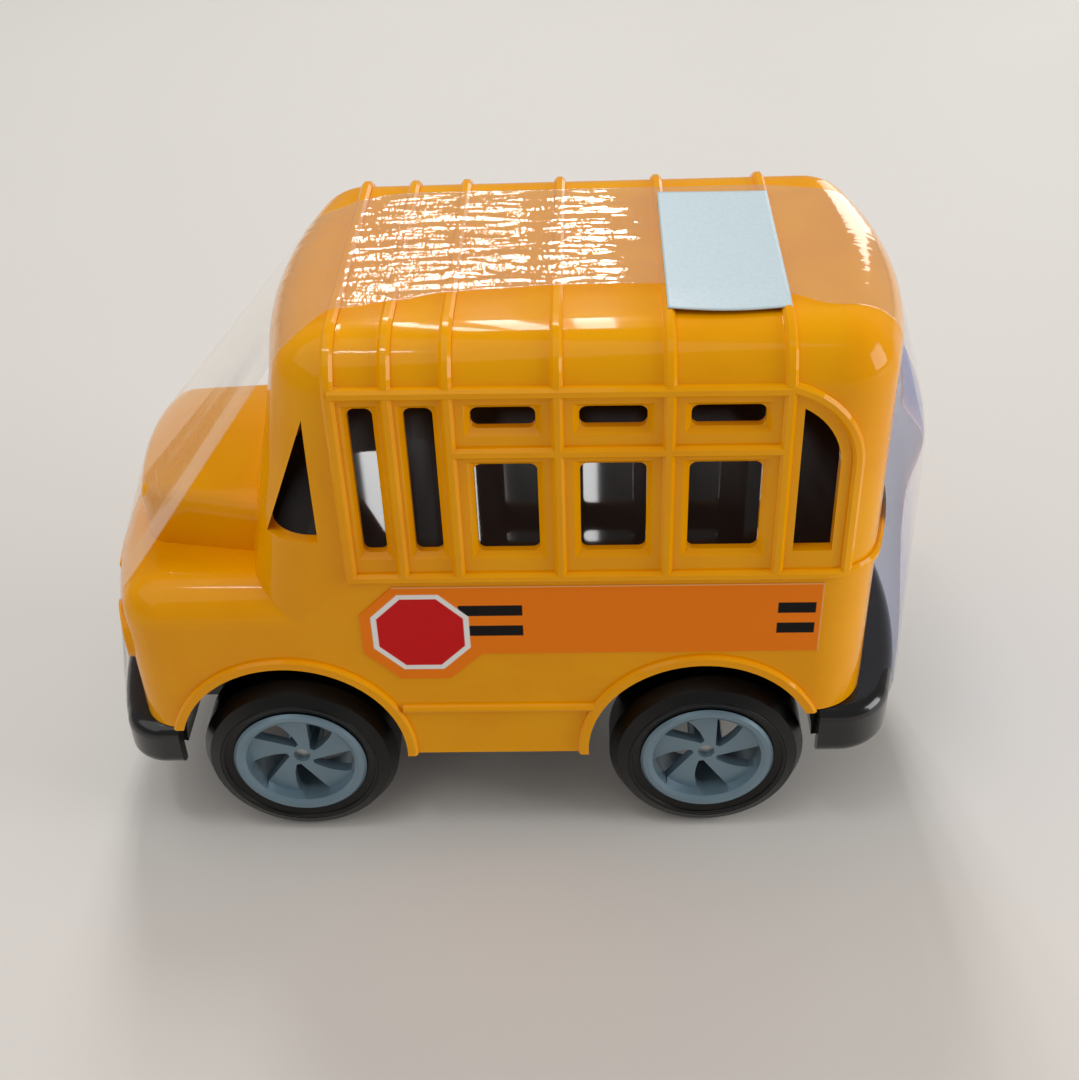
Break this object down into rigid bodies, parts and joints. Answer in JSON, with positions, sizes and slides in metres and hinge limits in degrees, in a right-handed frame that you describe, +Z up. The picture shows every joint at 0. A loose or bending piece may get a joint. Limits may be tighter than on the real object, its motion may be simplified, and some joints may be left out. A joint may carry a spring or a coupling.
{
  "type": "toy school bus",
  "caption": "Small moulded plastic toy school bus with a ribbed hollow cabin, open windows, a black base with bumpers, and wheels that roll on plain axles.",
  "frame": {"origin": "on the floor, under the middle of the bus's overall length and width", "axes": "+X towards the nose, +Y towards the bus's left side, +Z up"},
  "size_m": [0.0972, 0.045, 0.07],
  "materials": {
    "yellow_plastic": "injection-moulded polystyrene, lightly glossy",
    "black_plastic": "injection-moulded polypropylene, satin",
    "steel": "drawn wire",
    "grey_plastic": "silver-grey moulded plastic",
    "tyre_plastic": "soft black plastic",
    "sticker_film": "printed vinyl, plain bands, no lettering",
    "white_paper": "blank coated paper",
    "clear_film": "clear shrink film, thin and glossy"
  },
  "bodies": {
    "bus": {"body_shell": "yellow_plastic", "chassis_base": "black_plastic", "sticker_left": "sticker_film", "roof_label": "white_paper", "rear_tag": "white_paper", "film_band": "clear_film"},
    "front_wheels": {"axle_front": "steel", "hub_front_left": "grey_plastic", "hub_front_right": "grey_plastic", "tyre_front_left": "tyre_plastic", "tyre_front_right": "tyre_plastic"},
    "rear_wheels": {"axle_rear": "steel", "hub_rear_left": "grey_plastic", "hub_rear_right": "grey_plastic", "tyre_rear_left": "tyre_plastic", "tyre_rear_right": "tyre_plastic"}
  },
  "joints": [
    {"name": "front_wheels_roll", "type": "hinge", "parent": "bus", "child": "front_wheels", "pos_m": [0.0249, 0, 0.0117], "axis": [0, 1, 0], "continuous": true},
    {"name": "rear_wheels_roll", "type": "hinge", "parent": "bus", "child": "rear_wheels", "pos_m": [-0.0241, 0, 0.0117], "axis": [0, 1, 0], "continuous": true}
  ]
}
